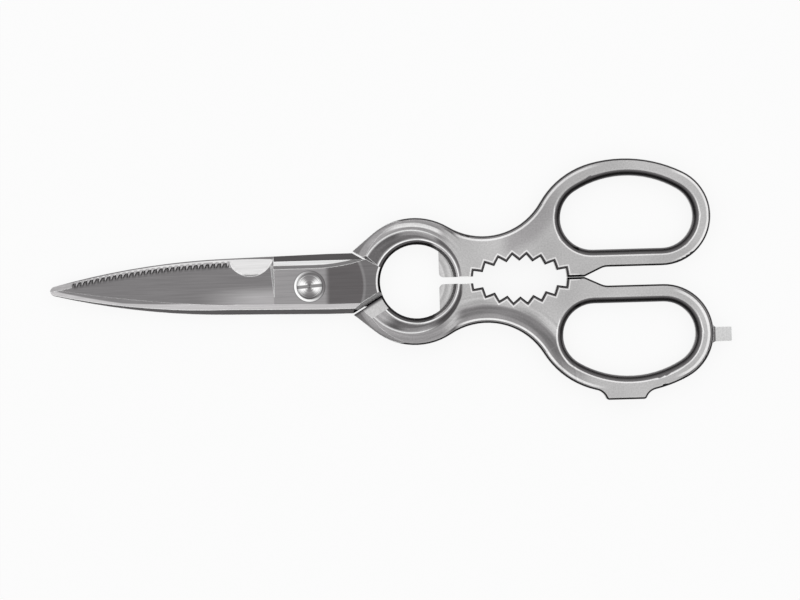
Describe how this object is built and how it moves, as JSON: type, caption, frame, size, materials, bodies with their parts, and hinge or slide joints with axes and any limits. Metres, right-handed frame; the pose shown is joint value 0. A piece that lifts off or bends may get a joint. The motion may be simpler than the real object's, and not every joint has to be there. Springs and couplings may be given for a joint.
{
  "type": "kitchen shears",
  "caption": "Steel kitchen shears with a bone notch, micro-serrated edge, cap-lifting ring with lugs, toothed nut gripper, oval finger loops, a tapping pad and a screwdriver tab.",
  "frame": {"origin": "on the pivot's axis, in the plane of the handles' backs, which the nut's back face is flush with", "axes": "+X from the pivot to the finger loops, so the tips point to -X; +Y towards the front half's loop; +Z along the pivot, from the nut to the screw's head"},
  "size_m": [0.21, 0.0744, 0.0086],
  "materials": {
    "front_steel": "satin blasted handle, brushed blade, polished bevels",
    "back_steel": "satin blasted handle, brushed blade, polished bevels",
    "screw_steel": "turned bright",
    "washer_steel": "polished",
    "nut_steel": "turned bright"
  },
  "bodies": {
    "back": {"back_half": "back_steel", "pivot_screw": "screw_steel", "spring_washer": "washer_steel", "pivot_nut": "nut_steel"},
    "front": {"front_half": "front_steel"}
  },
  "joints": [
    {"name": "pivot", "type": "hinge", "parent": "back", "child": "front", "pos_m": [0, 0, 0], "axis": [0, 0, 1], "range_deg": [0, 105]}
  ]
}
